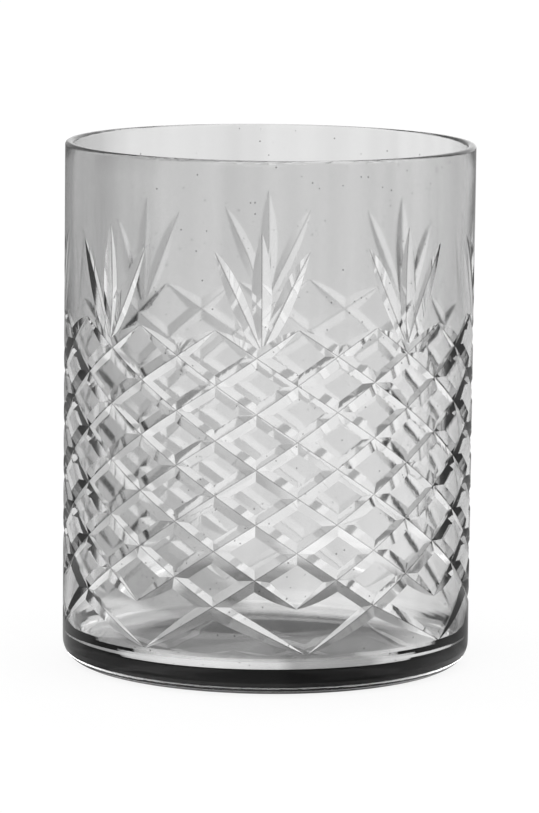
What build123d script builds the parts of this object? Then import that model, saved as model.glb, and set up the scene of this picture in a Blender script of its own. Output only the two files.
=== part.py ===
from build123d import *
from itertools import pairwise
from math import cos, degrees, radians, sin, tan
import os

# A cut-glass whiskey tumbler, blown in one piece of smoke-grey glass.
# Millimetres. +Z is up, the origin is the middle of the foot, and one fan faces -Y.

# ---- the blown glass ----
outer_diameter = 80.0
height = 102.0
wall_thickness = 1.7       # the same from the lip down to the floor bevel
base_thickness = 4.4       # glass under the floor
heel_radius = 4.0          # outside, where the wall turns into the foot
floor_bevel = 3.0          # inside, where the wall turns into the floor
lip_bevel = 0.45           # the lip is eased on both sides
foot_ring_width = 8.0      # flat ring that the glass stands on
foot_hollow = 0.8          # rise of the underside inside that ring, up to its middle

# ---- where the cutting lies ----
fan_count = 8              # fans round the glass
columns_per_fan = 4        # lattice columns from one fan to the next, an even number
diamond_rows = 5           # whole diamonds from the top of the lattice to the bottom
lip_band = 12.8            # plain glass from the rim down to the tips of the fans
fan_foot_gap = 1.3         # from the foot of a fan down to the crossing below it
foot_band = 8.0            # plain glass below the long points
long_point_drop = 8.9      # from the lowest crossings down to the long points
long_point_lead = 0.25     # they stand aside of their column by this share of a column

# ---- the cuts, all made by a wheel with a V edge ----
mitre_angle = 140.0        # included angle of the wheel's edge
crossing_depth = 0.5       # depth of the lattice cuts where they cross
knee_depth = 0.43          # depth half-way along a long arm
centre_leaf_length = 23.2
centre_leaf_width = 4.1
side_leaf_length = 21.7
side_leaf_width = 3.3
side_leaf_tilt = 25.5      # degrees from upright
leaf_overlap = 0.6         # the leaves run this far past the foot of the fan
edge_clearance = 0.5       # the wheel's edge stands out of the deepest cut by this much

# ---- worked out from the sizes above ----
outer_radius = outer_diameter / 2
half_fan = columns_per_fan // 2
column_angle = 360 / (fan_count * columns_per_fan)
row_count = 2 * diamond_rows
fan_foot = height - lip_band - centre_leaf_length
lowest_crossing = foot_band + long_point_drop
row_pitch = (fan_foot - fan_foot_gap - lowest_crossing) / (row_count - 1)

edge_slope = tan(radians(mitre_angle / 2))
centre_leaf_depth = centre_leaf_width / 2 / edge_slope
side_leaf_depth = side_leaf_width / 2 / edge_slope
chord_sag = outer_radius * (1 - cos(radians(column_angle / 2)))
deepest_cut = max(centre_leaf_depth, side_leaf_depth, crossing_depth + chord_sag)
edge_height = deepest_cut + edge_clearance
edge_half_width = edge_height * edge_slope
overrun = edge_height * tan(radians(column_angle))
edge_section = [(0, 0), (edge_half_width, edge_height), (-edge_half_width, edge_height)]


def outward_at(column):
    """Straight out of the wall at a column: column 0 is the middle of the front fan."""
    angle = radians(column * column_angle)
    return Vector(sin(angle), -cos(angle), 0)


def spot(column, level, depth=0.0):
    """A point on the outside of the wall, or this deep under it."""
    return outward_at(column) * (outer_radius - depth) + Vector(0, 0, level)


def row_level(row):
    """Height of a row of crossings: row 0 is the points at the top of the lattice."""
    return lowest_crossing + (row_count - row) * row_pitch


def across(start, end, outward):
    """Plane at the start of a cut: its Z axis follows the cut, its Y axis points outwards."""
    along = (end - start).normalized()
    return Plane(origin=start, x_dir=outward.cross(along), z_dir=along)


def wheel_radius(length, depth, tilt):
    """Radius of the wheel that leaves a leaf of this length at this depth."""
    wall_curve = sin(radians(tilt)) ** 2 / outer_radius
    return 1 / (8 * depth / length**2 - wall_curve)


# ---- the lattice, cut into the blown glass one column at a time ----
# In every column a V cut zigzags down the wall from side to side, and the next column
# carries its mirror image, so the cuts cross on the line between the two. They come up to
# the surface at the points along the top, and in the pairs that stop above a long point.
columns = []
for left, right in pairwise(range(-half_fan, half_fan + 1)):
    with BuildPart() as column:
        with BuildSketch(Plane(origin=(0, 0, 0), x_dir=outward_at(left),
                               z_dir=outward_at(left).cross(Vector(0, 0, 1)))):
            with BuildLine():
                Polyline((0, base_thickness), (0, 0), (outer_radius - heel_radius, 0))
                RadiusArc(
                    (outer_radius - heel_radius, 0), (outer_radius, heel_radius), -heel_radius
                )
                Polyline(
                    (outer_radius, heel_radius),
                    (outer_radius, height - lip_bevel),
                    (outer_radius - lip_bevel, height),
                    (outer_radius - wall_thickness + lip_bevel, height),
                    (outer_radius - wall_thickness, height - lip_bevel),
                    (outer_radius - wall_thickness, base_thickness + floor_bevel),
                    (outer_radius - wall_thickness - floor_bevel, base_thickness),
                    (0, base_thickness),
                )
            make_face()
        revolve(axis=Axis.Z, revolution_arc=column_angle)

        for row in range(row_count):
            falls_right = (left + row) % 2 == 1
            start_column, end_column = (left, right) if falls_right else (right, left)
            above_long_point = (end_column - 1) % columns_per_fan == 0
            surfaces = row == row_count - 1 and above_long_point
            start = spot(start_column, row_level(row), crossing_depth if row else 0)
            end = spot(end_column, row_level(row + 1), 0 if surfaces else crossing_depth)
            run = end - start
            with BuildPart(mode=Mode.PRIVATE) as cut:
                with BuildSketch(across(start - run, end, outward_at((left + right) / 2))):
                    Polygon(*edge_section, align=None)
                extrude(amount=3 * run.length)
                with BuildSketch(Plane.XY.offset(row_level(row + 1))):
                    Circle(outer_diameter)
                extrude(amount=row_pitch, mode=Mode.INTERSECT)
            add(cut.part, mode=Mode.SUBTRACT)
    columns.append(column.part)

# ---- one fan's share of the glass ----
# The other pairs of cuts run on below the lattice as long arms that meet in the long points.
# Each arm bends once, at a knee that lies on its straight line as seen from outside.
knee_share = (outer_radius - crossing_depth) / (2 * outer_radius - crossing_depth)
knee_level = lowest_crossing - long_point_drop * knee_share

with BuildPart() as fan_share:
    add(columns)

    for point_column in (1 - columns_per_fan, 1):
        tip_column = point_column + long_point_lead
        for top_column in (point_column - half_fan, point_column + half_fan):
            knee_column = (top_column + tip_column) / 2
            knee = spot(knee_column, knee_level, knee_depth)
            crossing = spot(top_column, lowest_crossing, crossing_depth)
            tip = spot(tip_column, foot_band)
            for end in (crossing, tip):
                along = (knee - end).normalized()
                with BuildSketch(across(end - along * overrun, knee, outward_at(knee_column))):
                    Polygon(*edge_section, align=None)
                extrude(amount=(knee - end).length + 2 * overrun, mode=Mode.SUBTRACT)

    # leaves of the fan: the whole wheel is sunk into the wall, which leaves a pointed lens
    for tilt, length, depth in (
        (-side_leaf_tilt, side_leaf_length, side_leaf_depth),
        (0.0, centre_leaf_length, centre_leaf_depth),
        (side_leaf_tilt, side_leaf_length, side_leaf_depth),
    ):
        half = length / 2 - leaf_overlap
        middle_column = degrees(half * sin(radians(tilt)) / outer_radius) / column_angle
        level = fan_foot + half * cos(radians(tilt))
        outward = outward_at(middle_column)
        deepest = spot(middle_column, level, depth)
        upward = Vector(0, 0, 1).rotate(Axis((0, 0, 0), outward), -tilt)
        leaf_plane = across(deepest, deepest + upward, outward)
        with BuildSketch(leaf_plane):
            Polygon(*edge_section, align=None)
        wheel_centre = deepest + outward * wheel_radius(length, depth, tilt)
        revolve(axis=Axis(wheel_centre, leaf_plane.x_dir), mode=Mode.SUBTRACT)

# ---- the whole glass: the shares joined round the axis, then the rise under the foot ----
ring_inside = outer_radius - heel_radius - foot_ring_width

with BuildPart() as tumbler_glass:
    with PolarLocations(0, fan_count):
        add(fan_share.part)
    with BuildSketch(Plane.XZ):
        Polygon((0, 0), (ring_inside, 0), (0, foot_hollow), align=None)
    revolve(axis=Axis.Z, mode=Mode.SUBTRACT)

tumbler_glass.part.label = "tumbler_glass"
os.makedirs("parts", exist_ok=True)
export_step(tumbler_glass.part, "parts/tumbler_glass.step")

box = tumbler_glass.part.bounding_box()
print("size", box.size, "volume", tumbler_glass.part.volume)
print("solids", len(tumbler_glass.part.solids()), "faces", len(tumbler_glass.part.faces()))
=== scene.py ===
# %% [markdown]
# A cut-glass whiskey tumbler in smoke-grey glass: a blown cylinder with a
# heavy base, a lattice of V cuts round the wall and a fan of leaves over every
# fourth column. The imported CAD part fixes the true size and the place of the
# cutting. This lesson grinds the same pattern into a finer mesh and gives it
# the finish of polished glass.

import random
from math import atan2, cos, exp, hypot, pi, radians, sin, sqrt, tan

import bmesh
import bpy
from mathutils import Matrix, Vector


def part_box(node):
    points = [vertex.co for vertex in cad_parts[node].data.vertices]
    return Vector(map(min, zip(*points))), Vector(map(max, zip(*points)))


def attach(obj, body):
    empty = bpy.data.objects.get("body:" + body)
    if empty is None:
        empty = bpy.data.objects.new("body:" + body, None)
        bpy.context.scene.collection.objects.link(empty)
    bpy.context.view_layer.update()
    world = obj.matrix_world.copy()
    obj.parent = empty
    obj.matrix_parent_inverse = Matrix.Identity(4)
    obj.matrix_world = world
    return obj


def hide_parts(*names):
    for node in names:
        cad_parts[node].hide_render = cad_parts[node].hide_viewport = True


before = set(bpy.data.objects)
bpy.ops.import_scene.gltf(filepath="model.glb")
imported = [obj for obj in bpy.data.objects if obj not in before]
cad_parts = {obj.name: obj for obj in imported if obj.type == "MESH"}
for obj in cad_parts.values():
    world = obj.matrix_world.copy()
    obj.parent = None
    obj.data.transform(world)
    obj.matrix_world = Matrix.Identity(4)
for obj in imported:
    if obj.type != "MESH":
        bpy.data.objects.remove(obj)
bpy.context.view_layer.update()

mm = 0.001
glass_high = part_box("tumbler_glass")[1]
outer_radius = glass_high[0]
height = glass_high[2]
print("tumbler:", round(2 * outer_radius / mm, 1), "mm wide,", round(height / mm, 1), "mm tall")

# %% [markdown]
# The camera stands a little above the rim and almost a metre away, with a long
# lens, so that the sides of the glass stay nearly parallel. It could be aimed
# with a constraint. Three plain turns say the same with nothing left live: tilt
# down, roll by half a degree, then swing round the glass.

# %% Camera
camera_distance = 933.6 * mm
camera_height = 188.1 * mm
camera_turn = radians(3.3)
camera_pitch = radians(8.42)
camera_roll = radians(0.65)

camera_data = bpy.data.cameras.new("camera")
camera_data.sensor_width = 36.0
camera_data.lens = 213.0
camera_data.shift_x = 0.002
camera = bpy.data.objects.new("camera", camera_data)
bpy.context.collection.objects.link(camera)
camera.location = (
    camera_distance * sin(camera_turn),
    -camera_distance * cos(camera_turn),
    camera_height,
)
aim = (
    Matrix.Rotation(camera_turn, 3, "Z")
    @ Matrix.Rotation(pi / 2 - camera_pitch, 3, "X")
    @ Matrix.Rotation(camera_roll, 3, "Z")
)
camera.rotation_euler = aim.to_euler()
bpy.context.scene.camera = camera
print("camera:", round(camera_distance, 3), "m away, lens", camera_data.lens, "mm")

# %% [markdown]
# All the cutting is laid out in columns round the wall and rows up the wall,
# like a paper pattern wrapped round the glass. Column 0 is the middle of the
# front fan. These few measures place every cut.

# %% The paper pattern
fan_count = 8
columns_per_fan = 4
row_count = 10
column_angle = 2 * pi / (fan_count * columns_per_fan)
column_width = outer_radius * column_angle

fan_foot = height - 36.0 * mm
lowest_crossing = 16.9 * mm
long_point_level = 8.0 * mm
long_point_lead = 0.25
fan_foot_gap = 1.3 * mm
row_pitch = (fan_foot - fan_foot_gap - lowest_crossing) / (row_count - 1)
top_points = lowest_crossing + row_count * row_pitch


def angle_of(point):
    """Angle round the glass, from the front and towards +X."""
    return atan2(point.x, -point.y)


def outward_at(angle):
    """Straight out of the wall at that angle."""
    return Vector((sin(angle), -cos(angle), 0))


def new_piece(name, bm):
    """Puts a bmesh into the scene as an object."""
    mesh = bpy.data.meshes.new(name)
    bm.to_mesh(mesh)
    bm.free()
    piece = bpy.data.objects.new(name, mesh)
    bpy.context.collection.objects.link(piece)
    return piece


print("lattice cell:", round(2 * column_width / mm, 2), "x", round(2 * row_pitch / mm, 2), "mm")

# %% [markdown]
# The blank is the glass before it is cut: blown into a mould, so every section
# through the axis is the same. A lathe shape is best made by spinning its
# section. Only one eighth is made first, because the cutting repeats eight
# times, and a small solid is quick to cut. Its two sides are set off the
# crossings, so that no cut ends exactly on a side.

# %% The blank
wall_thickness = 1.7 * mm
base_thickness = 4.4 * mm
foot_hollow = 0.8 * mm
foot_ring_inside = 28.0 * mm
share_angle = columns_per_fan * column_angle
share_start = -2.45 * column_angle
share_steps = 32


def blank_share():
    """One eighth of the uncut glass, closed by its two sides."""
    bm = bmesh.new()
    corners = {
        "floor_middle": (0, base_thickness),
        "foot_middle": (0, foot_hollow),
        "foot_ring": (foot_ring_inside, 0),
        "heel": (outer_radius, 0),
        "lip_outside": (outer_radius, height),
        "lip_inside": (outer_radius - wall_thickness, height),
        "floor_corner": (outer_radius - wall_thickness, base_thickness),
    }
    section = {name: bm.verts.new((r, 0, z)) for name, (r, z) in corners.items()}
    bm.faces.new(section.values())
    roundings = {"foot_ring": 1.5, "heel": 4.0, "lip_outside": 0.75, "lip_inside": 0.75,
                 "floor_corner": 4.2}
    for name, radius in roundings.items():
        bmesh.ops.bevel(
            bm, geom=[section[name]], affect="VERTICES", offset=radius * mm,
            offset_type="OFFSET", segments=9, profile=0.5, material=-1,
        )
    for longest, cuts in ((50 * mm, 24), (20 * mm, 10)):
        edges = [edge for edge in bm.edges if edge.calc_length() > longest]
        bmesh.ops.subdivide_edges(bm, edges=edges, cuts=cuts)
    bmesh.ops.rotate(
        bm, verts=bm.verts, matrix=Matrix.Rotation(share_start - pi / 2, 3, "Z")
    )
    bmesh.ops.spin(
        bm, geom=bm.verts[:] + bm.edges[:] + bm.faces[:], cent=(0, 0, 0), axis=(0, 0, 1),
        dvec=(0, 0, 0), angle=share_angle, steps=share_steps, use_merge=False,
        use_duplicate=False,
    )
    bmesh.ops.remove_doubles(bm, verts=bm.verts, dist=0.0001 * mm)
    bmesh.ops.recalc_face_normals(bm, faces=bm.faces)
    bm.loops.layers.uv.new("cut_map")
    return new_piece("blank_share", bm)


blank = blank_share()
print("blank share:", len(blank.data.polygons), "faces")

# %% [markdown]
# Every cut is made by a stone wheel with a V edge. Here the wheel is a solid
# with the shape of its path: a triangle pointing into the glass, spun along the
# cut. The triangle is a circle of three points, placed by a matrix that gives
# the way in, the way across and the way along.

# %% The V edge of the wheel
mitre_angle = radians(140)
edge_slope = tan(mitre_angle / 2)
edge_height = 1.6 * mm


def v_edge(bm, deepest, inward, across):
    """A V section with its point at deepest; the way across carries its half width."""
    above_point = bm.verts.layers.float.new("above_point")
    along = inward.cross(across).normalized()
    middle = deepest - inward * edge_height / 1.5
    placed = Matrix.Translation(middle) @ Matrix(
        [
            [across[i] / sin(radians(60)), inward[i] * edge_height / 1.5, along[i], 0]
            for i in range(3)
        ]
        + [[0, 0, 0, 1]]
    )
    made = bmesh.ops.create_circle(
        bm, cap_ends=True, segments=3, radius=1, matrix=placed
    )
    for vert in made["verts"][1:]:
        vert[above_point] = 1
    edges = {edge for vert in made["verts"] for edge in vert.link_edges}
    faces = {face for vert in made["verts"] for face in vert.link_faces}
    return made["verts"] + list(edges) + list(faces)


def cutter_piece(name, bm):
    """Closes a cutter and maps how far each point of it stands above the V's point."""
    bmesh.ops.recalc_face_normals(bm, faces=bm.faces)
    above_point = bm.verts.layers.float["above_point"]
    cut_map = bm.loops.layers.uv.new("cut_map")
    for face in bm.faces:
        for loop in face.loops:
            loop[cut_map].uv = (loop.vert[above_point], 1)
    return new_piece(name, bm)


# %% [markdown]
# A lattice cut winds down the wall like a thread. The spin operator can climb
# while it turns, which is exactly that. The cut comes in at a point along the
# top, keeps its depth through the crossings, and runs out again: half the cuts
# stop at the last row, and the others swing on as the long arms that meet in a
# long point near the foot. The run-in and run-out follow the wheel's round edge,
# so after the spin each section is moved out by what it lacks in depth.

# %% Lattice cuts
groove_depth = 0.63 * mm
runout_bulge = 0.46 * mm
steps_per_column = 6


def depth_after(columns, straight_end, run_out):
    """Depth of a lattice cut that has come this many columns from its start."""
    if columns < 1:
        share = columns
    elif columns > straight_end:
        share = 1 - (columns - straight_end) / run_out
    else:
        return groove_depth
    share = min(max(share, 0), 1)
    return groove_depth * share + runout_bulge * share * (1 - share)


def lattice_cut(start_column, turn):
    """The solid of one cut. turn is 1 where it falls to the right and -1 to the left."""
    dies_out = start_column % columns_per_fan == 3
    straight_end = row_count - 1 if dies_out else row_count
    run_out = 1 if dies_out else columns_per_fan / 2 + turn * long_point_lead
    last_drop = row_pitch if dies_out else lowest_crossing - long_point_level

    bm = bmesh.new()
    outward = outward_at(start_column * column_angle)
    run_slope = hypot(row_pitch, column_width) / column_width
    half_width = Vector((0, 0, edge_height * edge_slope * run_slope))
    geom = v_edge(bm, outward * outer_radius + Vector((0, 0, top_points)), -outward, half_width)
    for columns, drop in (
        (straight_end, straight_end * row_pitch),
        (run_out, last_drop),
    ):
        steps = round(columns * steps_per_column)
        spun = bmesh.ops.spin(
            bm, geom=geom, cent=(0, 0, 0), axis=(0, 0, 1), dvec=(0, 0, -drop / steps),
            angle=turn * columns * column_angle, steps=steps, use_merge=False,
            use_duplicate=False,
        )
        geom = spun["geom_last"]
    for vert in bm.verts:
        columns = turn * (angle_of(vert.co) / column_angle - start_column)
        columns = (columns + 1) % (fan_count * columns_per_fan) - 1
        out = Vector((vert.co.x, vert.co.y, 0)).normalized()
        vert.co -= out * depth_after(columns, straight_end, run_out)
    return cutter_piece("lattice_cut", bm)


share_end = share_start + share_angle
longest_cut = (row_count + columns_per_fan / 2 + long_point_lead) * column_angle
lattice_cuts = []
for start_column in range(-15, 16, 2):
    for turn in (1, -1):
        ends = sorted(
            (start_column * column_angle, start_column * column_angle + turn * longest_cut)
        )
        if ends[1] > share_start - 0.4 * column_angle and ends[0] < share_end + column_angle:
            lattice_cuts.append(lattice_cut(start_column, turn))
print("cuts through one share:", len(lattice_cuts))

# %% [markdown]
# A leaf is the simplest cut: the wheel is pressed into the wall and lifted off
# again, which leaves a lens with two sharp ends. The wheel's radius follows from
# the length and the depth of the leaf, and from how much the wall falls away
# under a leaf that leans. A short spin about the wheel's axle makes the solid.
# The leaves are ground with a slightly flatter wheel than the lattice, so their
# slopes stay clear even where they stand near the sides of the glass.

# %% Leaves
centre_leaf = {"lean": 0.0, "length": 23.2 * mm, "width": 4.1 * mm}
side_leaf = {"lean": 25.5, "length": 21.7 * mm, "width": 3.3 * mm}
leaf_overlap = 0.6 * mm
leaf_edge_angle = radians(150)
leaf_slope = tan(leaf_edge_angle / 2)
leaf_steps = 36
beyond_tips = 2 * mm


def leaf_cut(lean, length, width, aside, foot):
    """The solid of one leaf that stands on the fan's foot, aside by an angle."""
    depth = width / 2 / leaf_slope
    half = length / 2 - leaf_overlap
    outward = outward_at(aside + half * sin(lean) / outer_radius)
    upward = Matrix.Rotation(-lean, 3, outward) @ Vector((0, 0, 1))
    axle = outward.cross(upward)
    deepest = outward * (outer_radius - depth) + Vector((0, 0, foot + half * cos(lean)))
    wheel_radius = 1 / (8 * depth / length**2 - sin(lean) ** 2 / outer_radius)
    wheel_centre = deepest + outward * wheel_radius
    reach = (length / 2 + beyond_tips) / wheel_radius

    bm = bmesh.new()
    geom = v_edge(bm, deepest, -outward, axle * edge_height * leaf_slope)
    bmesh.ops.rotate(
        bm, verts=bm.verts, cent=wheel_centre, matrix=Matrix.Rotation(-reach, 3, axle)
    )
    bmesh.ops.spin(
        bm, geom=geom, cent=wheel_centre, axis=axle, dvec=(0, 0, 0), angle=2 * reach,
        steps=leaf_steps, use_merge=False, use_duplicate=False,
    )
    return cutter_piece("leaf_cut", bm)


# %% [markdown]
# Grinding is a Boolean difference. The exact solver copes with cuts that cross,
# and takes all of them at once from a collection. Eight shares are ground with
# the same lattice, but each with its fan a little to one side and a little up or
# down, because on a hand-cut glass no two fans stand alike.

# %% Grinding
def grind(piece, cutters):
    """Takes the cutters' solids away from the piece, in place."""
    tray = bpy.data.collections.new("cutters")
    bpy.context.scene.collection.children.link(tray)
    for cutter in cutters:
        tray.objects.link(cutter)
    cut = piece.modifiers.new("cut", "BOOLEAN")
    cut.operation = "DIFFERENCE"
    cut.solver = "EXACT"
    cut.operand_type = "COLLECTION"
    cut.collection = tray
    view = bpy.context.evaluated_depsgraph_get()
    ground = bpy.data.meshes.new_from_object(piece.evaluated_get(view))
    piece.modifiers.clear()
    piece.data = ground
    bpy.data.collections.remove(tray)


fan_asides = (1.3, -1.2, 0.5, 1.9, 1.7, -2.4, 0.8, -0.2)
fan_rises = (-0.05, 0.3, 0.2, 0.1, -0.1, -0.7, 0.3, 0.05)

shares = []
for fan in range(fan_count):
    share = blank.copy()
    share.data = blank.data.copy()
    bpy.context.collection.objects.link(share)
    aside, rise = radians(fan_asides[fan]), fan_rises[fan] * mm
    leaves = [
        leaf_cut(radians(side * leaf["lean"]), leaf["length"], leaf["width"], aside,
                 fan_foot + rise)
        for side, leaf in ((-1, side_leaf), (0, centre_leaf), (1, side_leaf))
    ]
    grind(share, lattice_cuts + leaves)
    share.data.transform(Matrix.Rotation(fan * share_angle, 4, "Z"))
    shares.append(share)
    for leaf in leaves:
        bpy.data.objects.remove(leaf)
for spent in [blank] + lattice_cuts:
    bpy.data.objects.remove(spent)
print("shares cut:", len(shares), "of", len(shares[0].data.polygons), "faces")

# %% [markdown]
# The eight shares lose their sides and become one skin. Only the vertices along
# the open borders are merged, because the polished cuts have edges finer than
# any safe merging distance. A sliver folded flat on itself leaves two faces on
# the same three vertices, and both are taken out. The finished skin is then
# counted: every edge must have two faces, or the grey inside would leak out.

# %% One glass
def on_side(vert, side):
    """True if a vertex lies on the flat side of a share at that angle."""
    if hypot(vert.co.x, vert.co.y) < 0.001 * mm:
        return True
    turn_away = (angle_of(vert.co) - side + pi) % (2 * pi) - pi
    return abs(turn_away) < 0.00001


joined = bmesh.new()
for fan, share in enumerate(shares):
    bm = bmesh.new()
    bm.from_mesh(share.data)
    for side in (share_start, share_end):
        turned = side + fan * share_angle
        flat = [face for face in bm.faces if all(on_side(vert, turned) for vert in face.verts)]
        bmesh.ops.delete(bm, geom=flat, context="FACES")
    bm.to_mesh(share.data)
    bm.free()
    joined.from_mesh(share.data)
    bpy.data.objects.remove(share)
border = {vert for edge in joined.edges if len(edge.link_faces) == 1 for vert in edge.verts}
bmesh.ops.remove_doubles(joined, verts=list(border), dist=0.001 * mm)
bmesh.ops.dissolve_degenerate(joined, edges=joined.edges, dist=0.00001 * mm)
bmesh.ops.triangulate(joined, faces=joined.faces)
joined.verts.index_update()
twins = {}
for face in joined.faces:
    twins.setdefault(frozenset(vert.index for vert in face.verts), []).append(face)
folded = [face for pair in twins.values() if len(pair) > 1 for face in pair]
bmesh.ops.delete(joined, geom=folded, context="FACES")
open_edges = sum(len(edge.link_faces) != 2 for edge in joined.edges)
print("glass:", len(joined.faces), "triangles,", open_edges, "open edges,",
      round(joined.calc_volume() / mm**3), "cubic mm")

# %% [markdown]
# A blown and hand-cut glass is never quite true. The pattern drifts to and fro
# by a millimetre or so as it goes round, the inside of the wall waves a little
# where the gather was thick or thin, and the rim is not quite level. Slow sines
# move the vertices, so flat facets stay flat enough to flash.

# %% Hand-made drift
for vert in joined.verts:
    angle = angle_of(vert.co)
    radius = hypot(vert.co.x, vert.co.y)
    up = vert.co.z / height
    drift = radians(1.1) * sin(angle) + radians(2.4) * sin(angle / 2) ** 4
    drift += radians(0.25) * sin(3 * angle + 4 * up)
    lift = 0.12 * mm * sin(2 * angle + 1) + 0.10 * mm * sin(5 * angle + 9 * up)
    lift *= min(up, 1 - up) * 4
    inside = radius < outer_radius - 1.4 * mm and vert.co.z > base_thickness + 5 * mm
    wave = 0.05 * mm * sin(3 * angle + 7 * up) + 0.03 * mm * sin(7 * angle - 15 * up)
    radius += wave if inside else 0
    vert.co = outward_at(angle + drift) * radius + Vector((0, 0, vert.co.z + lift))
print("hand-made drift done on", len(joined.verts), "vertices")

# %% [markdown]
# Seeds are the tiny bubbles that stay in old-fashioned glass. A seed is a closed
# ball whose faces look inwards, towards its own air, so light bends at it as at
# a real bubble. A random generator with a fixed seed scatters them through the
# wall and the base, stretched a little upwards by the blowing. A few larger
# ones stay in the thick base.

# %% Seeds in the glass
scatter = random.Random(7)


def add_seed(spot, size):
    """One bubble: a small ball turned inside out, drawn up by the blowing."""
    stretched = Matrix.Diagonal((1, 1, scatter.uniform(1, 1.8), 1))
    made = bmesh.ops.create_icosphere(
        joined, subdivisions=2, radius=size, matrix=Matrix.Translation(spot) @ stretched
    )
    ball = {face for vert in made["verts"] for face in vert.link_faces}
    bmesh.ops.reverse_faces(joined, faces=list(ball))


wall_seeds = 220
for _ in range(wall_seeds):
    level = scatter.uniform(10 * mm, height - 3 * mm)
    deep = scatter.uniform(0.6, 0.75) if level < top_points else 0.5
    spot = outward_at(scatter.uniform(0, 2 * pi)) * (outer_radius - deep * wall_thickness)
    spot.z = level
    add_seed(spot, scatter.uniform(0.04, 0.12) * mm)
base_seeds = 40
for _ in range(base_seeds):
    spot = outward_at(scatter.uniform(0, 2 * pi)) * scatter.uniform(12, 36) * mm
    spot.z = scatter.uniform(1.7, 3.4) * mm
    add_seed(spot, scatter.uniform(0.07, 0.16) * mm)
print("seeds:", wall_seeds, "in the wall,", base_seeds, "in the base")

# %% [markdown]
# Shading: the plain wall is round and the facets are flat, so the edges between
# them are marked sharp by their angle and all faces are set smooth. The mesh
# then shows a clean arris along each cut with no faceting across the wall.

# %% Crisp edges
sharp_angle = radians(9)
for face in joined.faces:
    face.smooth = True
for edge in joined.edges:
    edge.smooth = edge.calc_face_angle(0) < sharp_angle
tumbler = new_piece("cut_glass_tumbler", joined)
print("tumbler mesh:", len(tumbler.data.polygons), "triangles")

# %% [markdown]
# Smoke-grey glass is clear glass with a little metal oxide in it. The colour
# sits in the body and deepens with the length of the light's path: pale through
# one wall, black through the base. A thin darker skin lies on the outside, as
# when the gather is dipped once more into darker glass, and it thins out down
# the wall where the glass was blown wider. The wheel cuts through that skin, so
# the cuts look brighter than the plain wall beside them. The bottom line of
# every V is painted darker, as painted shade in the crease of the cut. The map
# left on the mesh by the wheel tells ground faces from plain ones.
# The inside of the wall was never ground or polished. Its fine ripples, too
# small to model, soften the far side of the pattern as it is seen through them.

# %% Node groups
bore_reach = 38.5 * mm
skin_start = 38.8 * mm
skin_full = 39.2 * mm
skin_thin_below = 58 * mm
skin_thick_above = 74 * mm
specks_per_metre = 300.0


def new_group(name, inputs, outputs):
    """A shader node group with its named sockets."""
    group = bpy.data.node_groups.new(name, "ShaderNodeTree")
    for socket, kind, value in inputs:
        made = group.interface.new_socket(socket, in_out="INPUT", socket_type=kind)
        made.default_value = value
    for socket, kind in outputs:
        group.interface.new_socket(socket, in_out="OUTPUT", socket_type=kind)
    return group, group.nodes.new("NodeGroupInput"), group.nodes.new("NodeGroupOutput")


def worked_out(tree, operation, *values):
    """A sum in a node tree. Each value is a number or the output of a node."""
    node = tree.nodes.new("ShaderNodeMath")
    node.operation = operation
    for socket, value in zip(node.inputs, values):
        if isinstance(value, (int, float)):
            socket.default_value = value
        else:
            tree.links.new(value, socket)
    return node.outputs[0]


def moved(tree, value, start, end, at_start, at_end):
    """A value carried from one range to another and held at its ends."""
    node = tree.nodes.new("ShaderNodeMapRange")
    limits = {"From Min": start, "From Max": end, "To Min": at_start, "To Max": at_end}
    for socket, limit in limits.items():
        if isinstance(limit, (int, float)):
            node.inputs[socket].default_value = limit
        else:
            tree.links.new(limit, node.inputs[socket])
    tree.links.new(value, node.inputs["Value"])
    return node.outputs["Result"]


def from_axis(tree):
    """Distance of a point from the upright axis of the glass."""
    place = tree.nodes.new("ShaderNodeTexCoord")
    flat = tree.nodes.new("ShaderNodeVectorMath")
    flat.operation = "MULTIPLY"
    flat.inputs[1].default_value = (1, 1, 0)
    long = tree.nodes.new("ShaderNodeVectorMath")
    long.operation = "LENGTH"
    tree.links.new(place.outputs["Object"], flat.inputs[0])
    tree.links.new(flat.outputs[0], long.inputs[0])
    return long.outputs["Value"]


def height_of(tree):
    """Height of a point above the floor."""
    place = tree.nodes.new("ShaderNodeTexCoord")
    parts = tree.nodes.new("ShaderNodeSeparateXYZ")
    tree.links.new(place.outputs["Object"], parts.inputs[0])
    return parts.outputs["Z"]


def noise_on(tree, stretch, scale, detail):
    """Noise on the glass, stretched up the wall."""
    place = tree.nodes.new("ShaderNodeTexCoord")
    pull = tree.nodes.new("ShaderNodeMapping")
    pull.inputs["Scale"].default_value = (1.0, 1.0, stretch)
    noise = tree.nodes.new("ShaderNodeTexNoise")
    noise.inputs["Detail"].default_value = detail
    if isinstance(scale, (int, float)):
        noise.inputs["Scale"].default_value = scale
    else:
        tree.links.new(scale, noise.inputs["Scale"])
    tree.links.new(place.outputs["Object"], pull.inputs["Vector"])
    tree.links.new(pull.outputs["Vector"], noise.inputs["Vector"])
    return noise.outputs["Fac"]


def draw_lines_group():
    """Height of the fine lines and ripples that blowing leaves in the wall."""
    group, given, result = new_group(
        "draw_lines",
        [("Line Scale", "NodeSocketFloat", 420.0), ("Ripple Scale", "NodeSocketFloat", 45.0)],
        [("Height", "NodeSocketFloat")],
    )
    lines = noise_on(group, 0.02, given.outputs["Line Scale"], 3.0)
    ripples = noise_on(group, 1.0, given.outputs["Ripple Scale"], 1.0)
    patches = noise_on(group, 1.0, 30.0, 2.0)
    total = worked_out(group, "ADD", worked_out(group, "MULTIPLY", lines, patches), ripples)
    group.links.new(total, result.inputs["Height"])
    return group


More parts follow.
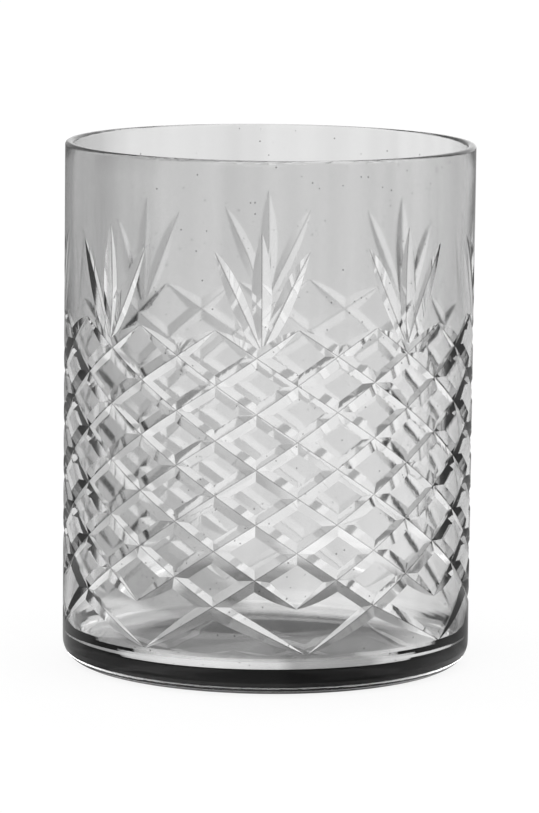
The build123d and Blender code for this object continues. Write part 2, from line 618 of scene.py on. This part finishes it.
def polish_group():
    """Roughness of the glass: polished outside, softly rippled inside the wall."""
    group, given, result = new_group(
        "polish",
        [("Clear", "NodeSocketFloat", 0.0), ("Rippled", "NodeSocketFloat", 0.075)],
        [("Roughness", "NodeSocketFloat")],
    )
    above_floor = moved(group, height_of(group), 9 * mm, 13 * mm, 0.0, 1.0)
    in_bore = moved(group, from_axis(group), bore_reach, skin_start, 1.0, 0.0)
    inside = worked_out(group, "MULTIPLY", above_floor, in_bore)
    uneven = moved(group, noise_on(group, 1.0, 60.0, 2.0), 0.3, 0.7, 0.0, 1.0)
    worn = worked_out(group, "MULTIPLY", inside,
                      worked_out(group, "MULTIPLY_ADD", uneven, 0.3, 0.7))
    rough = moved(group, worn, 0.0, 1.0, given.outputs["Clear"], given.outputs["Rippled"])
    group.links.new(rough, result.inputs["Roughness"])
    return group


def skin_and_valley_shade_group():
    """Tone of the surface: grey skin, clear cuts, painted shade along the V bottoms, and specks.
    """
    group, given, result = new_group(
        "skin_and_valley_shade",
        [("Skin Grey", "NodeSocketFloat", 0.73), ("Streaks", "NodeSocketFloat", 0.14),
         ("Thinner Below", "NodeSocketFloat", 0.1), ("Valley Shade Grey", "NodeSocketFloat", 0.35),
         ("Speck Grey", "NodeSocketFloat", 0.25)],
        [("Tint", "NodeSocketFloat")],
    )
    wheel_map = group.nodes.new("ShaderNodeUVMap")
    wheel_map.uv_map = "cut_map"
    parts = group.nodes.new("ShaderNodeSeparateXYZ")
    group.links.new(wheel_map.outputs["UV"], parts.inputs[0])
    above_line, ground = parts.outputs["X"], parts.outputs["Y"]
    outside = moved(group, from_axis(group), skin_start, skin_full, 0.0, 1.0)
    plain = worked_out(group, "MULTIPLY", outside, worked_out(group, "SUBTRACT", 1.0, ground))
    streaks = moved(group, noise_on(group, 0.03, 130.0, 2.0), 0.3, 0.7, -0.5, 0.5)
    uneven = worked_out(group, "MULTIPLY_ADD", streaks, given.outputs["Streaks"],
                        given.outputs["Skin Grey"])
    thinner = moved(group, height_of(group), skin_thin_below, skin_thick_above,
                    given.outputs["Thinner Below"], 0.0)
    uneven = worked_out(group, "ADD", uneven, thinner)
    skin = moved(group, plain, 0.0, 1.0, 1.0, uneven)
    # Painted shade: a darker line along the bottom of every V, as shade in the crease.
    line = moved(group, above_line, 0.008, 0.035, given.outputs["Valley Shade Grey"], 1.0)
    valley_shade = moved(group, ground, 0.0, 1.0, 1.0, line)
    place = group.nodes.new("ShaderNodeTexCoord")
    cells = group.nodes.new("ShaderNodeTexVoronoi")
    cells.inputs["Scale"].default_value = specks_per_metre
    group.links.new(place.outputs["Object"], cells.inputs["Vector"])
    specks = moved(group, cells.outputs["Distance"], 0.045, 0.065,
                   given.outputs["Speck Grey"], 1.0)
    tint = worked_out(group, "MULTIPLY", worked_out(group, "MULTIPLY", skin, valley_shade), specks)
    group.links.new(tint, result.inputs["Tint"])
    return group


draw_lines = draw_lines_group()
polish = polish_group()
skin_and_valley_shade = skin_and_valley_shade_group()
print("node groups:", draw_lines.name, polish.name, skin_and_valley_shade.name)

# %% [markdown]
# The glass itself has a clear body with the grey dissolved in it, and takes its
# surface tone, ripples and draw lines from the three groups. A grey base colour
# alone would be simpler, but the base would then be as light as the rim.

# %% Smoke glass
smoke_grey = 0.5
smoke_density = 100.0
skin_grey = 0.73
draw_line_height = 0.02 * mm


def use_group(tree, group, **settings):
    """A node group placed in a material, with its sockets set by name."""
    node = tree.nodes.new("ShaderNodeGroup")
    node.node_tree = group
    for socket, value in settings.items():
        node.inputs[socket.replace("_", " ")].default_value = value
    return node


smoke_glass = bpy.data.materials.new("smoke_glass")
smoke_glass.use_nodes = True
tree = smoke_glass.node_tree
glass_shader = tree.nodes["Principled BSDF"]
glass_shader.inputs["IOR"].default_value = 1.5
glass_shader.inputs["Transmission Weight"].default_value = 1.0
surface_tone = use_group(tree, skin_and_valley_shade, Skin_Grey=skin_grey)
surface_polish = use_group(tree, polish)
wall_lines = use_group(tree, draw_lines)
relief = tree.nodes.new("ShaderNodeBump")
relief.inputs["Strength"].default_value = 0.1
relief.inputs["Distance"].default_value = draw_line_height
smoke = tree.nodes.new("ShaderNodeVolumeAbsorption")
smoke.inputs["Color"].default_value = (smoke_grey, smoke_grey, smoke_grey, 1)
smoke.inputs["Density"].default_value = smoke_density
tree.links.new(surface_tone.outputs["Tint"], glass_shader.inputs["Base Color"])
tree.links.new(surface_polish.outputs["Roughness"], glass_shader.inputs["Roughness"])
tree.links.new(wall_lines.outputs["Height"], relief.inputs["Height"])
tree.links.new(relief.outputs["Normal"], glass_shader.inputs["Normal"])
tree.links.new(smoke.outputs["Volume"], tree.nodes["Material Output"].inputs["Volume"])

tumbler.data.materials.append(smoke_glass)
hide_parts("tumbler_glass")
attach(tumbler, "root")
through_body = exp(-smoke_density * smoke_grey * wall_thickness)
print("one wall passes", round(through_body * sqrt(skin_grey), 2), "of the light")

# %% [markdown]
# Cut glass shows the room behind it bent aside by every facet, so a perfectly
# even white room would leave the cutting flat. The backdrop here swings softly
# between lighter and darker all the way round the glass. From any side the left
# slopes of the cuts then turn darker and the right slopes lighter. The same
# tone is painted on the floor as painted light and shade, because most lines of
# sight through the glass end on it. Straight views of the backdrop and the
# floor stay plain white.

# %% Backdrop tone
def studio_tone_group():
    """Soft lighter and darker parts of the studio, by the way one looks."""
    group, given, result = new_group(
        "studio_tone",
        [("Direction", "NodeSocketVector", (0.0, 1.0, 0.0)),
         ("Darker", "NodeSocketFloat", 0.48), ("Lighter", "NodeSocketFloat", 0.14)],
        [("Tone", "NodeSocketFloat")],
    )
    apart = group.nodes.new("ShaderNodeSeparateXYZ")
    group.links.new(given.outputs["Direction"], apart.inputs[0])
    turn = worked_out(group, "ARCTAN2", apart.outputs["X"], apart.outputs["Y"])
    wave = worked_out(group, "SINE",
                      worked_out(group, "MULTIPLY_ADD", turn, 4.0, 4.0 * camera_turn))
    lighter = moved(group, wave, 0.1, 0.9, 0.0, given.outputs["Lighter"])
    darker = moved(group, wave, -0.28, -0.62, 0.0, given.outputs["Darker"])
    tone = worked_out(group, "ADD", 1.0, worked_out(group, "SUBTRACT", lighter, darker))
    group.links.new(tone, result.inputs["Tone"])
    return group


studio_tone = studio_tone_group()


def mirrored_only(tree, rays):
    """1 for a plain mirror reflection, 0 for light that has passed the glass."""
    unpassed = worked_out(tree, "SUBTRACT", 1.0, rays.outputs["Is Transmission Ray"])
    return worked_out(tree, "MULTIPLY", rays.outputs["Is Glossy Ray"], unpassed)


# %% [markdown]
# The floor is matt white and keeps a faint contact shadow. As seen through the
# glass it is painted: a painted shadow darkens it under the glass, where little
# light gets in, and painted light brightens it just below the rim of the foot,
# where the round heel gathers the light. Two fine rings there are painted
# highlights for the bright curves that a glass throws on a table. They could be
# left to the renderer, which would need far more light paths to find them. They
# show as the pool in the floor of the glass, the white arc above the base and
# the light lines along the heel. Mirror reflections see the floor dimmed to a
# quarter of its strength, a painted shade which keeps the base deep black.

# %% Floor
floor_drop = 0.05 * mm
floor_size = 6.0
floor_white = 0.95
pool_radius, pool_end, painted_shadow_tone = 25 * mm, 31 * mm, 0.35
painted_rim_light, rim_fades, rim_gone = 1.4, 44 * mm, 56 * mm
painted_heel_rings = ((39.3 * mm, 0.3 * mm, 6.0), (37.85 * mm, 0.17 * mm, 1.2))
ring_through_glass = 0.2
mirror_painted_shade = 0.25
own_glow = 0.8
straight_glow = 1.07

bm = bmesh.new()
bmesh.ops.create_grid(
    bm, x_segments=1, y_segments=1, size=floor_size,
    matrix=Matrix.Translation((0, 0, -floor_drop)),
)
floor = new_piece("studio_floor", bm)
floor_paint = bpy.data.materials.new("floor_paint")
floor_paint.use_nodes = True
tree = floor_paint.node_tree
floor_shader = tree.nodes["Principled BSDF"]
floor_shader.inputs["Base Color"].default_value = (floor_white, floor_white, floor_white, 1)
floor_shader.inputs["Roughness"].default_value = 0.9
floor_shader.inputs["Specular IOR Level"].default_value = 0.0

rays = tree.nodes.new("ShaderNodeLightPath")
place = tree.nodes.new("ShaderNodeTexCoord")
# The studio tone is painted on the floor as light and shade, for rays that come through the
# glass.
tone = use_group(tree, studio_tone)
tree.links.new(place.outputs["Object"], tone.inputs["Direction"])
away = from_axis(tree)
# Painted shadow under the glass and painted light below the rim of the foot, seen only through
# the glass.
painted_pool = moved(tree, away, pool_radius, pool_end, painted_shadow_tone, painted_rim_light)
rim_fade = moved(tree, away, rim_fades, rim_gone, 0.0, painted_rim_light - 1.0)
mirrored = mirrored_only(tree, rays)
# Painted shade: mirror reflections see the floor dimmed.
dimmed = moved(tree, mirrored, 0.0, 1.0, 1.0, mirror_painted_shade)
ring_share = moved(tree, mirrored, 0.0, 1.0, ring_through_glass, 1.0)
seen = worked_out(tree, "MULTIPLY", tone.outputs["Tone"],
                  worked_out(tree, "SUBTRACT", painted_pool, rim_fade))
seen = worked_out(tree, "MULTIPLY", seen, dimmed)
# Painted highlights: two bright rings that stand for the curves of light a glass throws.
for ring_radius, half_width, painted_ring_light in painted_heel_rings:
    off_ring = worked_out(tree, "ABSOLUTE", worked_out(tree, "SUBTRACT", away, ring_radius))
    line = moved(tree, off_ring, 0.5 * half_width, half_width, painted_ring_light, 0.0)
    seen = worked_out(tree, "ADD", seen, worked_out(tree, "MULTIPLY", line, ring_share))
straight = rays.outputs["Is Camera Ray"]
strength = moved(tree, straight, 0.0, 1.0, seen, straight_glow)
glow = tree.nodes.new("ShaderNodeEmission")
tree.links.new(strength, glow.inputs["Strength"])
through = worked_out(tree, "MAXIMUM", rays.outputs["Is Transmission Ray"],
                     rays.outputs["Is Glossy Ray"])
share = worked_out(tree, "MULTIPLY", worked_out(tree, "MAXIMUM", straight, through), own_glow)
both = tree.nodes.new("ShaderNodeMixShader")
tree.links.new(share, both.inputs[0])
tree.links.new(floor_shader.outputs[0], both.inputs[1])
tree.links.new(glow.outputs[0], both.inputs[2])
tree.links.new(both.outputs[0], tree.nodes["Material Output"].inputs["Surface"])
floor.data.materials.append(floor_paint)
print("floor: darker to", round(pool_radius / mm), "mm from the axis,", len(painted_heel_rings), "rings")

# %% [markdown]
# The light is one even white dome. Light that has passed the glass also finds a
# darker belt of studio wall above the horizon. The inside floor mirrors that
# belt towards the eye, and the slopes that bend light far aside pick it up as
# dark flashes near the sides of the glass.

# %% Studio light
belt_tone = 0.5

world = bpy.data.worlds.new("studio")
bpy.context.scene.world = world
world.use_nodes = True
tree = world.node_tree
background = tree.nodes["Background"]
background.inputs["Color"].default_value = (1, 1, 1, 1)
rays = tree.nodes.new("ShaderNodeLightPath")
place = tree.nodes.new("ShaderNodeTexCoord")
tone = use_group(tree, studio_tone)
tree.links.new(place.outputs["Generated"], tone.inputs["Direction"])
apart = tree.nodes.new("ShaderNodeSeparateXYZ")
tree.links.new(place.outputs["Generated"], apart.inputs[0])
rise = apart.outputs["Z"]
belt = worked_out(tree, "ADD", moved(tree, rise, 0.06, 0.16, 1.0, belt_tone),
                  moved(tree, rise, 0.45, 0.7, 0.0, 1.0 - belt_tone))
belted = moved(tree, rays.outputs["Is Transmission Ray"], 0.0, 1.0, 1.0, belt)
seen = worked_out(tree, "MULTIPLY", tone.outputs["Tone"], belted)
strength = moved(tree, rays.outputs["Is Camera Ray"], 0.0, 1.0, seen, 1.0)
tree.links.new(strength, background.inputs["Strength"])
bpy.context.scene.view_settings.view_transform = "Standard"
print("studio: even dome with a darker belt above the horizon")
